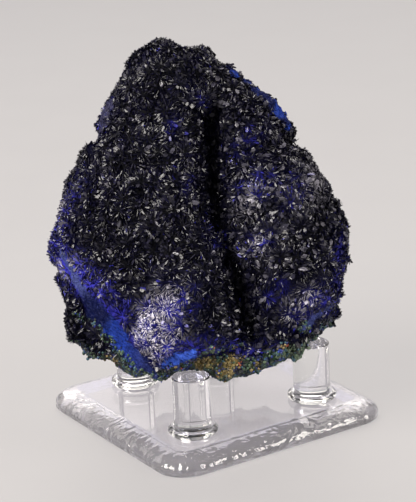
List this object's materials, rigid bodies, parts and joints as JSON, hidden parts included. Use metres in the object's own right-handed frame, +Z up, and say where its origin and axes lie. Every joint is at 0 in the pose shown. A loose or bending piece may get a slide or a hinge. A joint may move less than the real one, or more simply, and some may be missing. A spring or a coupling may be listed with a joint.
{
  "type": "azurite and malachite specimen",
  "caption": "Druse of dark blue bladed azurite on malachite and limonite matrix, resting on a square clear acrylic stand with round pegs.",
  "frame": {"origin": "centre of the base plate's underside, where the stand meets the surface that it rests on", "axes": "+Z up, +X to the right of a viewer who faces the crystal face, +Y away from that viewer; the square plate is turned 32.2 degrees about +Z"},
  "size_m": [0.113, 0.113, 0.135],
  "materials": {
    "azurite": "glossy crystal faces over rough matrix",
    "clear_acrylic": "polished clear cast acrylic"
  },
  "bodies": {
    "root": {"specimen": "azurite", "base_plate": "clear_acrylic", "peg_front": "clear_acrylic", "peg_right": "clear_acrylic", "peg_left": "clear_acrylic", "peg_back": "clear_acrylic", "collar_front": "clear_acrylic", "collar_right": "clear_acrylic", "collar_left": "clear_acrylic", "collar_back": "clear_acrylic"}
  },
  "joints": []
}
